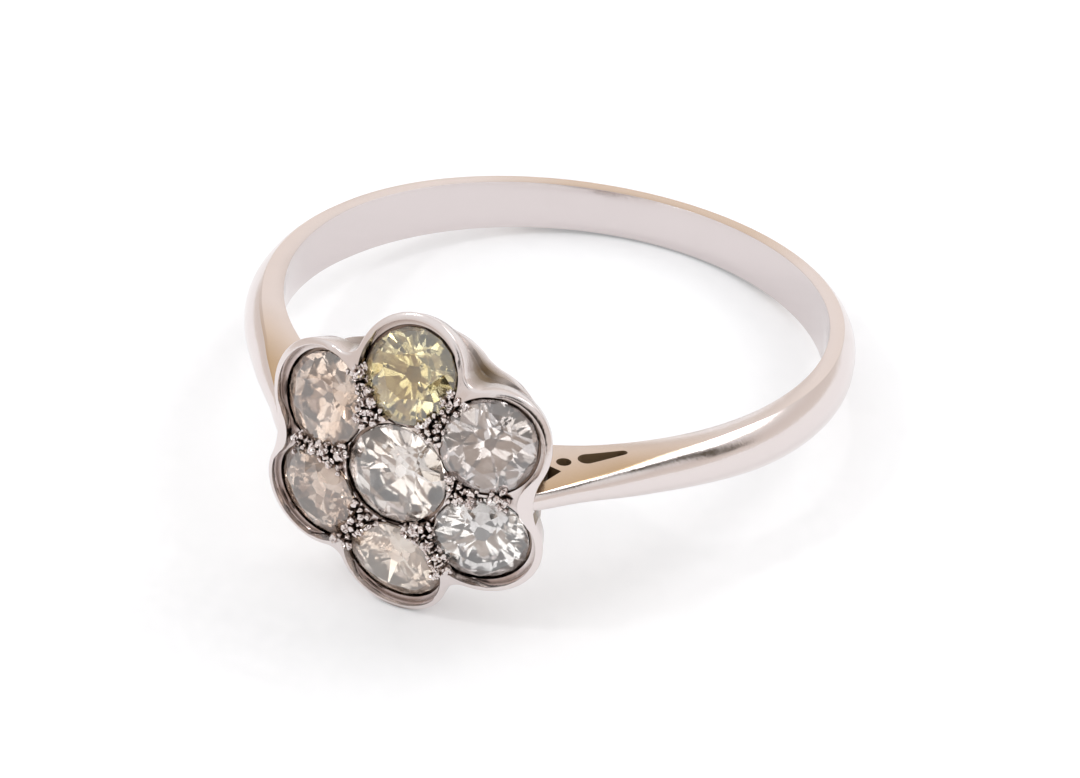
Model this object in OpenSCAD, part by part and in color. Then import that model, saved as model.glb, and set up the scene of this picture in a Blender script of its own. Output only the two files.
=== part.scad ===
// Seven-stone daisy cluster ring, lying on its side as it would on a table.
// The ring is drawn with the finger along Y and the head facing +Z, and is laid down at the end.
// Angles round the band start at the head. Heights on the head are taken from the finger's centre.

/* [Band] */
// Diameter of the finger hole
bore_d = 17.2; // [15:0.1:21]
// Height of the band's flat side faces
band_side_h = 0.46; // [0.35:0.01:0.8]
// Rise of the band's domed outside above its side faces
band_dome_h = 0.44; // [0.25:0.01:0.7]
// Width of the band at the back
band_back_w = 1.56; // [1.3:0.02:2.4]
// Width of the band at its two sides
band_side_w = 1.8; // [1.5:0.02:2.6]

/* [Shoulders] */
// Angle from the head at which the band is widest
widest_angle = 105; // [90:1:120]
// How far the shoulders reach in under the head, from the rim's side valleys
shoulder_in = 1.21; // [1:0.01:1.4]
// Depth of a shoulder's side edge below the rim, at the head
shoulder_drop = 0.2; // [0.1:0.02:0.4]
// Diameter of the round piercing in each shoulder
piercing_d = 0.46; // [0.36:0.02:0.56]
// Width of the long piercing at its head end
slot_wide_w = 0.58; // [0.4:0.02:0.7]
// Width of the long piercing at its narrow end
slot_narrow_w = 0.28; // [0.2:0.02:0.36]

/* [Head] */
// Height of the petal stones' tables above the finger hole
head_rise = 2.8; // [2.6:0.05:3.6]
// Radius of the dome that the rim and the petal tables follow
head_dome_r = 9.7; // [8.5:0.1:14]
// Metal between a petal stone's seat and the rim's outline
rim_wall = 0.24; // [0.2:0.01:0.36]
// Thickness of the rim's edge
rim_t = 0.32; // [0.26:0.01:0.4]
// Radius of the small fillets between neighbouring scallops
valley_r = 0.5; // [0.4:0.05:0.8]
// Radius of the wide fillets where the shoulders meet the rim
shoulder_valley_r = 2.2; // [1.6:0.1:3]
// Depth of the sunk ground between the stones, below the rim
ground_depth = 0.3; // [0.2:0.02:0.34]
// Height of the gallery's foot above the finger hole
foot_h = 0.4; // [0.3:0.02:0.7]
// Radius of the bead grains between the stones
bead_r = 0.15; // [0.12:0.01:0.18]

/* [Stones] */
// Diameter of the petal stones
petal_d = 2.96; // [2.6:0.02:3]
// Gap between neighbouring petal stones
petal_gap = 0.26; // [0.2:0.01:0.4]
// Gap between the centre stone and the petal stones
centre_gap = 0.14; // [0.12:0.01:0.3]
// Height of the centre stone's table above the petal tables
centre_rise = 0.4; // [0.2:0.02:0.5]
// Height of the crown of a stone, above its girdle
crown_h = 0.34; // [0.26:0.02:0.44]
// Depth of the pavilion of a stone, below its girdle
pavilion_h = 1.2; // [1:0.02:1.3]
// Thickness of the girdle of a stone
girdle_t = 0.08; // [0.04:0.01:0.14]
// Clearance between a stone and its seat
seat_gap = 0.05; // [0.03:0.01:0.06]
// Width of the ledge that a stone's girdle sits on
ledge_w = 0.14; // [0.08:0.01:0.2]
// Width of the bright bevel cut in the metal round each stone
bright_cut = 0.1; // [0.04:0.01:0.14]
// Width of the open back behind a stone, as a share of the stone
open_back = 0.72; // [0.6:0.02:0.8]

/* [Hidden] */
PETALS = 6;
// Corners of a stone's table, and the fineness of round shapes
FACETS = 8;
$fn = 48;

bore_r = bore_d / 2;
side_r = bore_r + band_side_h;
crown_r = side_r + band_dome_h;
// Height of the petal tables above the finger's centre
head_h = bore_r + head_rise;
// How far the band's sections start inside the finger hole, before it is bored
inside = 0.4;
// How far cutting shapes reach past what they cut
past = 1;

function share_of(x, low, high) = max(0, min(1, (x - low) / (high - low)));
function blend(low, high, share) = low + (high - low) * share;

// Six petals in a ring stand as far from the middle as from each other
petal_ring_r = petal_d + petal_gap;
centre_d = 2 * (petal_ring_r - petal_d / 2 - centre_gap);
scallop_r = petal_d / 2 + seat_gap + rim_wall;

// Head: every point of the rim lies on a dome over the head's axis
petal_tilt = asin(petal_ring_r / head_dome_r);
rim_above_tables = 0.05;
foot_z = bore_r + foot_h;
function dome_z(r) = head_h + rim_above_tables
    - (r * r - petal_ring_r * petal_ring_r) / (2 * head_dome_r);
function polar(r, a) = [r * cos(a), r * sin(a)];

// Petals start beside the right-hand shoulder and go round the head
petal_step = 360 / PETALS;
function petal_a(i) = petal_step * (i + 0.5);
function valley_a(i) = petal_step * i;
// The valleys at each end of the head's width meet the shoulders
function valley_fillet(i) = i % (PETALS / 2) == 0 ? shoulder_valley_r : valley_r;

// Half the distance between neighbouring petals, and its distance from the head's axis
petal_half = petal_ring_r * sin(petal_step / 2);
petal_neck = petal_ring_r * cos(petal_step / 2);
// Distance of a valley fillet's centre from the head's axis, and of the valley's bottom
function fillet_centre(f) = petal_neck + sqrt((scallop_r + f) ^ 2 - petal_half ^ 2);
function valley_depth_r(i) = fillet_centre(valley_fillet(i)) - valley_fillet(i);
// Angle from the head at which the shoulders start, inside the valleys at its sides
shoulder_root_angle = asin((valley_depth_r(0) - shoulder_in) / bore_r);
// Angle that a scallop turns through, from its outermost point to the fillet
function scallop_turn(f) = atan2(fillet_centre(f) * sin(petal_step / 2),
    fillet_centre(f) * cos(petal_step / 2) - petal_ring_r);

// Plan of the rim, as one closed loop of arcs
SCALLOP_STEPS = 12;
VALLEY_STEPS = 4;
function scallop_points(i) = let (
    start = -scallop_turn(valley_fillet(i)),
    end = scallop_turn(valley_fillet(i + 1))
) [for (k = [0 : SCALLOP_STEPS]) polar(petal_ring_r, petal_a(i))
    + polar(scallop_r, petal_a(i) + start + (end - start) * k / SCALLOP_STEPS)];
function valley_points(i) = let (
    f = valley_fillet(i),
    turn = scallop_turn(f) - petal_step / 2
) [for (k = [1 : VALLEY_STEPS - 1]) polar(fillet_centre(f), valley_a(i))
    + polar(f, valley_a(i) + 180 + turn * (1 - 2 * k / VALLEY_STEPS))];
rim_plan = [for (i = [0 : PETALS - 1]) each concat(scallop_points(i), valley_points(i + 1))];

// Levels of the head's wall, from its foot up: the gallery rail, a groove, and the rim's band.
// The share of the way down from the rim to the foot, and how far in from the rim's outline
// the wall stands at the scallops and in the valleys, as shares of the scallops' radius
DOWN = 0;
IN_AT_SCALLOP = 1;
IN_AT_VALLEY = 2;
wall_levels = [
    [1.00, 0.62, 0.18],
    [0.72, 0.46, 0.09],
    [0.68, 0.55, 0.19],
    [0.40, 0.36, 0.14],
    [0.36, 0.16, 0.03],
    [0.03, 0.00, 0.00],
    [0.00, 0.03, 0.03],
];
scallop_reach = petal_ring_r + scallop_r;
valley_reach = valley_depth_r(1);
function level_ring(level) = [for (p = rim_plan) let (
    r = norm(p),
    top = dome_z(r),
    lobe = share_of(r, valley_reach, scallop_reach),
    share = 1 - scallop_r * blend(level[IN_AT_VALLEY], level[IN_AT_SCALLOP], lobe) / r
) [p[0] * share, p[1] * share, top - level[DOWN] * (top - foot_z)]];
function ground_ring(reach, depth) = [for (p = rim_plan) let (
    r = norm(p) * reach
) [p[0] * reach, p[1] * reach, dome_z(r) - depth]];
function inset_ring(inset, depth) = [for (p = rim_plan) let (
    r = norm(p),
    share = (r - inset) / r
) [p[0] * share, p[1] * share, dome_z(r) - depth]];

// The rim's inner wall leans in by a little, and one more ring carries the ground to the middle
rim_lean = 0.04;
ground_reach = 0.5;
head_rings = concat(
    [for (level = wall_levels) level_ring(level)],
    [inset_ring(rim_t, 0)],
    [inset_ring(rim_t + rim_lean, ground_depth)],
    [ground_ring(ground_reach, ground_depth)]
);

// A closed solid through rings of equally many points, the first and last closed by a centre point
function loft_faces(rings, around) = [for (k = [0 : rings - 2]) for (j = [0 : around - 1])
    let (a = k * around + j, b = k * around + (j + 1) % around)
    each [[a, a + around, b + around], [a, b + around, b]]];
module capped_loft(sections, start, end) {
    around = len(sections[0]);
    last = (len(sections) - 1) * around;
    points = concat([for (s = sections) each s], [start, end]);
    caps = [for (j = [0 : around - 1]) let (next = (j + 1) % around)
        each [[last + around, j, next], [last + around + 1, last + next, last + j]]];
    polyhedron(points, concat(loft_faces(len(sections), around), caps));
}
function middle(points) = [for (axis = [0 : 2]) [for (p = points) p[axis]] * [for (p = points) 1]]
    / len(points);

module head_block() {
    capped_loft(head_rings, [0, 0, foot_z], [0, 0, dome_z(0) - ground_depth]);
}

// Band and shoulders: one sweep from the right of the head round the back to its left.
// Sections of the front half, from the shoulder's root to where the band is widest.
// The share of the way round, the widths along the finger hole and along the outer edge
// as shares of the band's width, the height of the edge as a share of the shoulder's, and
// the rise of the dome as a share of the band's
ALONG = 0;
INNER_W = 1;
OUTER_W = 2;
EDGE_H = 3;
DOME_RISE = 4;
front_sections = [
    [0.00, 0.40, 0.32, 1.00, 0.36],
    [0.10, 0.45, 0.44, 0.61, 0.60],
    [0.20, 0.54, 0.62, 0.38, 0.85],
    [0.29, 0.62, 0.76, 0.20, 1.05],
    [0.40, 0.70, 0.86, 0.12, 1.14],
    [0.54, 0.80, 0.96, 0.08, 1.14],
    [0.70, 0.90, 1.00, 0.05, 1.08],
    [1.00, 1.00, 1.00, 0.00, 1.00],
];
function column(c) = [for (row = front_sections) [row[ALONG], row[c]]];
function from_head(a) = min(a, 360 - a);
function along_front(a) = share_of(a, shoulder_root_angle, widest_angle);
function at_section(c, a) = lookup(along_front(a), column(c));
// The band narrows from its widest place to the back
function band_w(a) = blend(band_side_w, band_back_w,
    (1 - cos(180 * share_of(a, widest_angle, 180))) / 2);
// Height of the side faces at a shoulder's root, where they meet the head's wall below the rim
root_h = norm([valley_depth_r(0), dome_z(valley_depth_r(0)) - shoulder_drop]) - bore_r;
function edge_radius(a) = bore_r + blend(band_side_h, root_h, at_section(EDGE_H, a));

DOME_STEPS = 8;
// One section across the band: along the finger, then out from the finger's centre
function band_section(a) = let (
    rise = band_dome_h * at_section(DOME_RISE, a),
    inner = band_w(a) * at_section(INNER_W, a) / 2,
    half = band_w(a) * at_section(OUTER_W, a) / 2,
    slope = (half - inner) / (edge_radius(a) - bore_r),
    start = inner - slope * inside,
    arc_r = (half * half + rise * rise) / (2 * rise),
    arc_turn = rise > half ? 180 - asin(half / arc_r) : asin(half / arc_r),
    arc_centre = edge_radius(a) + rise - arc_r
) concat(
    [[-start, bore_r - inside], [start, bore_r - inside]],
    [for (k = [0 : DOME_STEPS]) let (turn = arc_turn * (1 - 2 * k / DOME_STEPS))
        [arc_r * sin(turn), arc_centre + arc_r * cos(turn)]]
);
function placed_section(a) = [for (p = band_section(from_head(a))) [p[1] * sin(a), p[0], p[1] * cos(a)]];

FRONT_STEPS = 18;
BACK_STEPS = 24;
sweep_angles = concat(
    [for (k = [0 : FRONT_STEPS - 1]) blend(shoulder_root_angle, widest_angle, k / FRONT_STEPS)],
    [for (k = [0 : BACK_STEPS]) blend(widest_angle, 360 - widest_angle, k / BACK_STEPS)],
    [for (k = [1 : FRONT_STEPS])
        360 - blend(widest_angle, shoulder_root_angle, k / FRONT_STEPS)]
);
band_sections = [for (a = sweep_angles) placed_section(a)];

module band_sweep() {
    capped_loft(band_sections, middle(band_sections[0]), middle(band_sections[len(band_sections) - 1]));
}

// Piercings, at an angle from the shoulder's root and a share of the way from the finger hole
// to the edge
function web_point(turn, share) = let (a = shoulder_root_angle + turn)
    blend(bore_r, edge_radius(a), share) * [sin(a), cos(a)];
hole_turn = 5;
slot_start_turn = 9.3;
slot_end_turn = 16.1;
web_middle = 0.42;
// Corners of the three-cornered notch beside the head
notch = [
    [2.2, 0.45],
    [4.5, 0.64],
    [1.6, 0.80],
];

module shoulder_piercings() {
    rotate([90, 0, 0]) linear_extrude(band_side_w + past, center = true) {
        translate(web_point(hole_turn, web_middle)) circle(d = piercing_d);
        hull() {
            translate(web_point(slot_start_turn, web_middle)) circle(d = slot_wide_w, $fn = 32);
            translate(web_point(slot_end_turn, web_middle)) circle(d = slot_narrow_w, $fn = 32);
        }
        polygon([for (corner = notch) web_point(corner[0], corner[1])]);
    }
}

// Stones: the girdle plane is at z = 0 in each stone's own place
table_share = 0.54;
star_share = 0.8;
star_height = 0.56;
main_share = 0.56;
main_depth = 0.52;
culet_share = 0.12;
flat = 0.01;
module facet_ring(r, z, sides, turned) {
    translate([0, 0, z]) rotate(turned ? 180 / sides : 0) cylinder(r = r, h = flat, $fn = sides);
}
module old_cut_stone(d) {
    r = d / 2;
    hull() {
        facet_ring(r * table_share, crown_h - flat, FACETS, false);
        facet_ring(r * star_share, crown_h * star_height, FACETS, true);
        facet_ring(r, 0, 2 * FACETS, false);
        facet_ring(r, -girdle_t, 2 * FACETS, false);
        facet_ring(r * main_share, -girdle_t - pavilion_h * main_depth, FACETS, true);
        facet_ring(r * culet_share, -girdle_t - pavilion_h, FACETS, false);
    }
}
module seat(d) {
    r = d / 2 + seat_gap;
    depth = head_rise - foot_h / 2;
    translate([0, 0, -girdle_t - seat_gap]) cylinder(r = r, h = girdle_t + 2 * seat_gap);
    cylinder(r1 = r, r2 = r + bright_cut * 2 * past / crown_h, h = 2 * past);
    translate([0, 0, -girdle_t - seat_gap - crown_h])
        cylinder(r1 = r * open_back, r2 = r - ledge_w, h = crown_h);
    translate([0, 0, -depth]) cylinder(r = r * open_back, h = depth - girdle_t - crown_h);
}

// Places of the stones: petals lean out with the dome
module at_petal(i) {
    rotate(petal_a(i)) translate([petal_ring_r, 0, head_h]) rotate([0, petal_tilt, 0])
        translate([0, 0, -crown_h]) children();
}
module at_centre() {
    translate([0, 0, head_h + centre_rise - crown_h]) children();
}

// Bead grains in each valley: share of the way out from the inner gap to the valley's wall,
// distance to the side and size, as shares of the beads' radius
OUT = 0;
ASIDE = 1;
SIZE = 2;
beads = [
    [0.02, 0.00, 1.33],
    [0.80, 0.00, 1.00],
    [0.98, 1.33, 1.00],
    [0.98, -1.33, 1.00],
];
BEAD_SIDES = 8;
bead_proud = 0.5;
// Middle of the three-cornered gap between the centre stone and two petals, as far from each
petal_excess = (petal_d - centre_d) / 2;
inner_gap_r = (petal_ring_r ^ 2 - petal_excess ^ 2) / (2 * (petal_neck + petal_excess));
// Height of the sunk ground in a valley: it falls from the ground's inner ring to the rim's wall
function ground_z(i, r) = let (
    outline = valley_depth_r(i),
    share = share_of(r, outline - rim_t - rim_lean, outline * ground_reach)
) blend(dome_z(outline), dome_z(outline * ground_reach), share) - ground_depth;
module valley_beads(i) {
    wall_r = valley_depth_r(i) - rim_t;
    for (b = beads) {
        r = blend(inner_gap_r, wall_r, b[OUT]);
        rotate(valley_a(i))
            translate([r, bead_r * b[ASIDE], ground_z(i, r) + bead_r * b[SIZE] * bead_proud])
                sphere(r = bead_r * b[SIZE], $fn = BEAD_SIDES);
    }
}

// Lying down: the lowest scallop's edge and the back's edge both touch the table
rim_chamfer = wall_levels[len(wall_levels) - 2][DOWN];
touch_z = blend(dome_z(scallop_reach), foot_z, rim_chamfer);
lay_angle = atan2(scallop_reach - band_back_w / 2, touch_z + side_r);
lift = side_r * sin(lay_angle) + band_back_w / 2 * cos(lay_angle);
// How far the lowest petal's table reaches in front of the finger's centre, and the band behind
// it: the ring is centred between the two
front = head_h * cos(lay_angle) + petal_ring_r * sin(lay_angle)
    + petal_d / 2 * table_share * sin(petal_tilt - lay_angle);
dome_r = (band_back_w * band_back_w / 4 + band_dome_h * band_dome_h) / (2 * band_dome_h);
back = (crown_r - dome_r) * cos(lay_angle) + dome_r;
module lying_down() {
    translate([0, (front - back) / 2, lift]) rotate([90 - lay_angle, 0, 0]) children();
}

module band() {
    difference() {
        band_sweep();
        rotate([90, 0, 0]) cylinder(r = bore_r, h = band_side_w + 2 * past, center = true, $fn = 180);
        for (side = [0, 1]) mirror([side, 0, 0]) shoulder_piercings();
    }
}
module head() {
    difference() {
        union() {
            head_block();
            for (i = [0 : PETALS - 1]) valley_beads(i);
        }
        at_centre() seat(centre_d);
        for (i = [0 : PETALS - 1]) at_petal(i) seat(petal_d);
    }
}
module ring_mount() {
    color("gainsboro") lying_down() {
        band();
        head();
    }
}
module centre_stone() {
    color("whitesmoke") lying_down() at_centre() old_cut_stone(centre_d);
}
module petal_stone(i) {
    color(i == 2 ? "khaki" : "whitesmoke") lying_down() at_petal(i - 1) old_cut_stone(petal_d);
}

ring_mount();
centre_stone();
petal_stone(1);  // petal_stone_1
petal_stone(2);  // petal_stone_2
petal_stone(3);  // petal_stone_3
petal_stone(4);  // petal_stone_4
petal_stone(5);  // petal_stone_5
petal_stone(6);  // petal_stone_6
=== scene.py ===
# %% [markdown]
# # A daisy cluster ring
# The ring is an antique one in a white precious metal: seven old-cut diamonds in a scalloped
# head, pierced shoulders, and a plain band that tapers to the back. The solids of the ring come
# from its technical model. They are the frame, and every piece made here lies exactly on them.

# %% Load the ring's solids
import math
import random

import bmesh
import bpy
from mathutils import Matrix, Vector, noise


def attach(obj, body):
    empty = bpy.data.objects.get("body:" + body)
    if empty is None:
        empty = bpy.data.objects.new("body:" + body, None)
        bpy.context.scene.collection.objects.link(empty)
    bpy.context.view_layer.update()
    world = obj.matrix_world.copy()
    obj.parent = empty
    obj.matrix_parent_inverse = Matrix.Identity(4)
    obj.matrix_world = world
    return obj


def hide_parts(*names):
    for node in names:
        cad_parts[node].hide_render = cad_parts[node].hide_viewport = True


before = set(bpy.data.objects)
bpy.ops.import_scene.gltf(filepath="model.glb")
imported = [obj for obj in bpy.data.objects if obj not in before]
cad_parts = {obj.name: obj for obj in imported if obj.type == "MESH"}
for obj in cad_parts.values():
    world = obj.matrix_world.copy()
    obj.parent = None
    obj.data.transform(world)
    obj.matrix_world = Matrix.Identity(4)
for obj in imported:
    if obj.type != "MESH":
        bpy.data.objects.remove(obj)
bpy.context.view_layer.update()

print("solids:", sorted(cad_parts))

# %% [markdown]
# ## The ring's measures
# A goldsmith thinks of a ring standing up, with the finger hole level and the head on top. So
# each piece is drawn in millimetres, with y along the finger and z towards the head, from the
# middle of the finger hole. Drawn like that, the band is a matter of radii and of angles from
# the head, and the head is a matter of heights.

# %% Measures, in millimetres and degrees
MM = 0.001
BORE_R = 8.6          # Radius of the finger hole
SIDE_H = 0.46         # Height of the band's flat side faces
DOME_H = 0.44         # Rise of its domed outside above them
BACK_W = 1.56         # Width of the band at the back
SIDE_W = 1.8          # Width of the band at its widest place
WIDEST = 105          # Angle from the head of that place
ROOT = 20.487         # Angle from the head at which the shoulders start
ROOT_REACH = 4.218    # Where they meet the rim, from the head's axis
ROOT_DROP = 0.2       # Depth of their side edges below the rim there
HEAD_H = 11.4         # Height of the petal stones' tables
PETAL_RING_R = 3.22   # Radius of the circle that the petal stones stand on
HEAD_DOME_R = 9.7     # Radius of the dome that the rim follows
RIM_OVER = 0.05       # Height of the rim above the petal tables
SCALLOP_R = 1.77      # Radius of the rim's scallops
FOOT_Z = 9.0          # Height of the gallery's foot
GROUND_DEPTH = 0.3    # Depth of the sunk ground between the stones
PETAL_D = 2.96        # Diameter of a petal stone
CENTRE_D = 3.2        # Diameter of the centre stone
CENTRE_RISE = 0.4     # Height of its table above the petal tables
CROWN_H = 0.34        # Height of a stone's crown, above its girdle
PAVILION_H = 1.2      # Depth of its pavilion, below its girdle
GIRDLE_T = 0.08       # Thickness of its girdle, the narrow belt round it
SEAT_GAP = 0.05       # Clearance between a stone and its seat
BRIGHT_CUT = 0.1      # Width of the bright bevel round a stone
PETAL_TILT = math.asin(PETAL_RING_R / HEAD_DOME_R)


def clamp(value, low=0.0, high=1.0):
    return max(low, min(high, value))


def blend(low, high, share):
    return low + (high - low) * share


def dome_z(r):
    """Height of the dome over the head, at a distance from the head's axis."""
    return HEAD_H + RIM_OVER - (r * r - PETAL_RING_R ** 2) / (2 * HEAD_DOME_R)


print("the petals lean out by", round(math.degrees(PETAL_TILT), 1), "degrees")

# %% [markdown]
# ## Laying the ring down
# A ring can't stand on its band, so it lies on its side: on the lowest scallops of the head and
# on the back of the band. One matrix turns millimetres into metres, turns the ring and lifts
# it. Every piece goes through that same matrix, so that none can slip against another.

# %% The matrix that lays the ring on the table
LAY_ANGLE = 12.0571   # The head is wider than the band, so the ring leans by this from flat
LIFT = 2.6553         # Brings its lowest points to the table
SHIFT = 1.30628       # Brings its middle to the middle of the table
LAID = (Matrix.Translation((0, SHIFT * MM, LIFT * MM))
        @ Matrix.Rotation(math.radians(90 - LAY_ANGLE), 4, "X")
        @ Matrix.Scale(MM, 4))
print("the top of the head lies at, in mm:",
      [round(c / MM, 2) for c in LAID @ Vector((0, 0, HEAD_H + CENTRE_RISE))])

# %% [markdown]
# ## From a mesh in the making to a piece
# A bmesh is a mesh in the making. When it is done it is laid down with the ring's matrix, its
# edges are marked sharp where two faces meet at a steep angle, and it becomes an object that
# rides on the ring. Polished metal shows every fault in its normals, so faces that should look
# round are smooth and real corners are sharp.

# %% Helpers that finish a piece
SHARP_DEG = 35


def mesh_from(bm, name, sharp_deg=SHARP_DEG):
    """Lay a bmesh down, mark its sharp edges and return it as a mesh."""
    bmesh.ops.transform(bm, matrix=LAID, verts=bm.verts)
    for face in bm.faces:
        face.smooth = True
    for edge in bm.edges:
        edge.smooth = edge.calc_face_angle(0) < math.radians(sharp_deg)
    mesh = bpy.data.meshes.new(name)
    bm.to_mesh(mesh)
    bm.free()
    return mesh


def add_piece(name, mesh, material, nodes):
    """Put a finished mesh in the scene, as the piece that stands for some solids."""
    piece = bpy.data.objects.new(name, mesh)
    bpy.context.scene.collection.objects.link(piece)
    mesh.materials.append(material)
    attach(piece, "root")
    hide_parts(*nodes)
    print(name, len(mesh.polygons), "faces")
    return piece


print("an edge is sharp from", SHARP_DEG, "degrees")

# %% [markdown]
# ## Three things done to many shapes
# Spinning or filling a shape can leave its faces turned inwards, so their normals are worked
# out again. A corner that has been worn for a hundred years is never sharp, so a bevel rounds
# it. And a cut stone is the hull stretched over its corners, as a piercing is over its ends.

# %% Helpers that shape a bmesh
ROUND = 0.5           # A bevel's profile: 0.5 is a true round


def face_outwards(bm):
    bmesh.ops.recalc_face_normals(bm, faces=bm.faces)


def round_corners(bm, steep_deg, width, segments):
    """Round the edges where two four-sided faces meet at a steep angle."""
    corners = [e for e in bm.edges if e.calc_face_angle(0) > math.radians(steep_deg)
               and all(len(f.verts) == 4 for f in e.link_faces)]
    bmesh.ops.bevel(bm, geom=corners, offset=width, offset_type="OFFSET", segments=segments,
                    profile=ROUND, affect="EDGES", material=-1, clamp_overlap=True)
    print("rounded", len(corners), "edges by", width, "mm")


def stretch_hull(bm):
    """Stretch a hull over the points, and drop those that it doesn't touch."""
    bmesh.ops.convex_hull(bm, input=bm.verts, use_existing_faces=False)
    bmesh.ops.delete(bm, geom=[v for v in bm.verts if not v.link_faces], context="VERTS")


print("corners are rounded with a profile of", ROUND)

# %% [markdown]
# ## Colours and nodes
# Colours are written as the sRGB hex values that a painter would pick, and Blender's shaders
# want linear light, so one function turns the one into the other. Another adds a node with its
# settings and its links in one line, which keeps each material short enough to read.

# %% Helpers for materials
# A Mix node has sockets for numbers, vectors and colours. These are its sockets for colours
SHARE, UNDER, OVER, MIXED = 0, 6, 7, 2


def colour(code):
    """An sRGB hex value as linear light."""
    parts = [int(code[i:i + 2], 16) / 255 for i in (1, 3, 5)]
    linear = [p / 12.92 if p <= 0.04045 else ((p + 0.055) / 1.055) ** 2.4 for p in parts]
    return (*linear, 1.0)


def add_node(tree, kind, inputs=None, **settings):
    """Add a node. Inputs map a socket's name or number to a value, or to a node's output."""
    node = tree.nodes.new(kind)
    for key, value in settings.items():
        setattr(node, key, value)
    for key, value in (inputs or {}).items():
        if isinstance(value, bpy.types.NodeSocket):
            tree.links.new(value, node.inputs[key])
        else:
            node.inputs[key].default_value = value
    return node


def set_ramp(node, stops):
    """Give a colour ramp its stops, each a position and a colour."""
    elements = node.color_ramp.elements
    while len(elements) > 1:
        elements.remove(elements[-1])
    elements[0].position, elements[0].color = stops[0]
    for position, value in stops[1:]:
        elements.new(position).color = value
    return node


def new_material(name):
    material = bpy.data.materials.new(name)
    material.use_nodes = True
    return material, material.node_tree, material.node_tree.nodes["Principled BSDF"]


print("the painter's middle grey is", round(colour("#808080")[0], 3), "in linear light")

# %% [markdown]
# ## Worn platinum
# Platinum is a grey-white metal that is polished to a mirror and then dulls with wear. The metal
# is one Principled shader at full metallic. A noise makes its gloss uneven, and three bumps give
# it the waves of the file, shallow dents, and scratches. An Ambient Occlusion node, which knows
# how closed-in a spot is, paints shade into the colour of the corners and of spots near the stones
# and the table, tinted brown like the dirt that a cloth can't reach.
#
# Other marks are the metal's own and aren't a matter of corners: the inside of the band is
# duller, the sides of the shoulders have tarnished brown, and grime fills the piercings. Those
# places are marked on the mesh further on, as three numbers from 0 to 1, and the material reads
# them by name.

# %% What is on the metal, and the shade painted into its corners
# Each mark pulls the bare metal's warm grey-white towards a colour of its own
BARE = "#E0D7D5"
MARKS = [("inside", "#D9D0CF"), ("tarnish", "#C6AB8A"), ("grime", "#77634A")]
# Painted shade and dirt: a closed-in corner is darkened nearly to black, and brown before it fades
# out
CORNER_SHADE_AND_DIRT = [colour("#2E2018"), colour("#99887B"), colour("#FFFFFF")]
SHADE_AND_DIRT_REACH = 0.35     # How far off the other side of a corner may be, in mm
# Waves of the file, dents and scratches: size in mm, scale along z, detail, strength, and height
# in mm. The scratches are twenty times as long as they are wide. Real ones are finer, and these
# are as fine as the render can show
BUMPS = [(1.6, 1.0, 1.0, 0.35, 0.03), (0.35, 1.0, 2.0, 0.3, 0.006), (0.05, 0.05, 3.0, 0.5, 0.006)]
HAZE = 0.9            # Size in mm of the cloudier and clearer patches of the polish
CLEAR, CLOUDY = 0.08, 0.2  # Their roughness: a near mirror, and a soft one
print("marks on the metal:", [name for name, tint in MARKS])


# %% Platinum
def platinum(name, shade_and_dirt_stops):
    """Polished platinum that shows its wear: a soft mirror, warm where it is tarnished and grimy,
    and darkened by painted shade in its corners.
    """
    material, tree, shader = new_material(name)
    place = add_node(tree, "ShaderNodeTexCoord").outputs["Object"]
    haze = add_node(tree, "ShaderNodeTexNoise",
                    {"Vector": place, "Scale": 1 / (HAZE * MM), "Detail": 4.0})
    gloss = add_node(tree, "ShaderNodeMapRange",
                     {"Value": haze.outputs["Fac"], "From Min": 0.3, "From Max": 0.7,
                      "To Min": CLEAR, "To Max": CLOUDY})
    tone = colour(BARE)
    for mark, tint in MARKS:
        amount = add_node(tree, "ShaderNodeAttribute", attribute_name=mark)
        tone = add_node(tree, "ShaderNodeMix",
                        {SHARE: amount.outputs["Fac"], UNDER: tone, OVER: colour(tint)},
                        data_type="RGBA").outputs[MIXED]
    # The last mark is grime, which is no metal, so it loses the metal's mirror
    clean = add_node(tree, "ShaderNodeMath", {0: 1.0, 1: amount.outputs["Fac"]},
                     operation="SUBTRACT")
    # Painted shade: the Ambient Occlusion, which counts the stones and the table too, darkens the
    # colour in closed-in spots, brown like dirt
    closed = add_node(tree, "ShaderNodeAmbientOcclusion", {"Distance": SHADE_AND_DIRT_REACH * MM}, samples=8)
    shade_and_dirt_ramp = set_ramp(add_node(tree, "ShaderNodeValToRGB", {0: closed.outputs["AO"]}),
                    list(zip(shade_and_dirt_stops, CORNER_SHADE_AND_DIRT)))
    shaded_tone = add_node(tree, "ShaderNodeMix", {SHARE: 1.0, UNDER: tone, OVER: shade_and_dirt_ramp.outputs["Color"]},
                    data_type="RGBA", blend_type="MULTIPLY")
    below = {}
    for size, scale_z, detail, strength, height in BUMPS:
        along = add_node(tree, "ShaderNodeMapping", {"Vector": place, "Scale": (1.0, 1.0, scale_z)})
        pattern = add_node(tree, "ShaderNodeTexNoise",
                           {"Vector": along.outputs[0], "Scale": 1 / (size * MM), "Detail": detail})
        bump = add_node(tree, "ShaderNodeBump",
                        {"Height": pattern.outputs["Fac"], "Strength": strength,
                         "Distance": height * MM, **below})
        below = {"Normal": bump.outputs["Normal"]}
    tree.links.new(clean.outputs[0], shader.inputs["Metallic"])
    tree.links.new(shaded_tone.outputs[MIXED], shader.inputs["Base Color"])
    tree.links.new(gloss.outputs["Result"], shader.inputs["Roughness"])
    tree.links.new(bump.outputs["Normal"], shader.inputs["Normal"])
    return material


# The grains stand close together and are never wiped clean, so the painted shade and dirt between
# them are darker
PLATINUM = platinum("worn_platinum", (0.12, 0.4, 0.72))
GRAIN_PLATINUM = platinum("grain_platinum_darker_corners", (0.16, 0.44, 0.8))
print("materials:", PLATINUM.name, GRAIN_PLATINUM.name)

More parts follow.
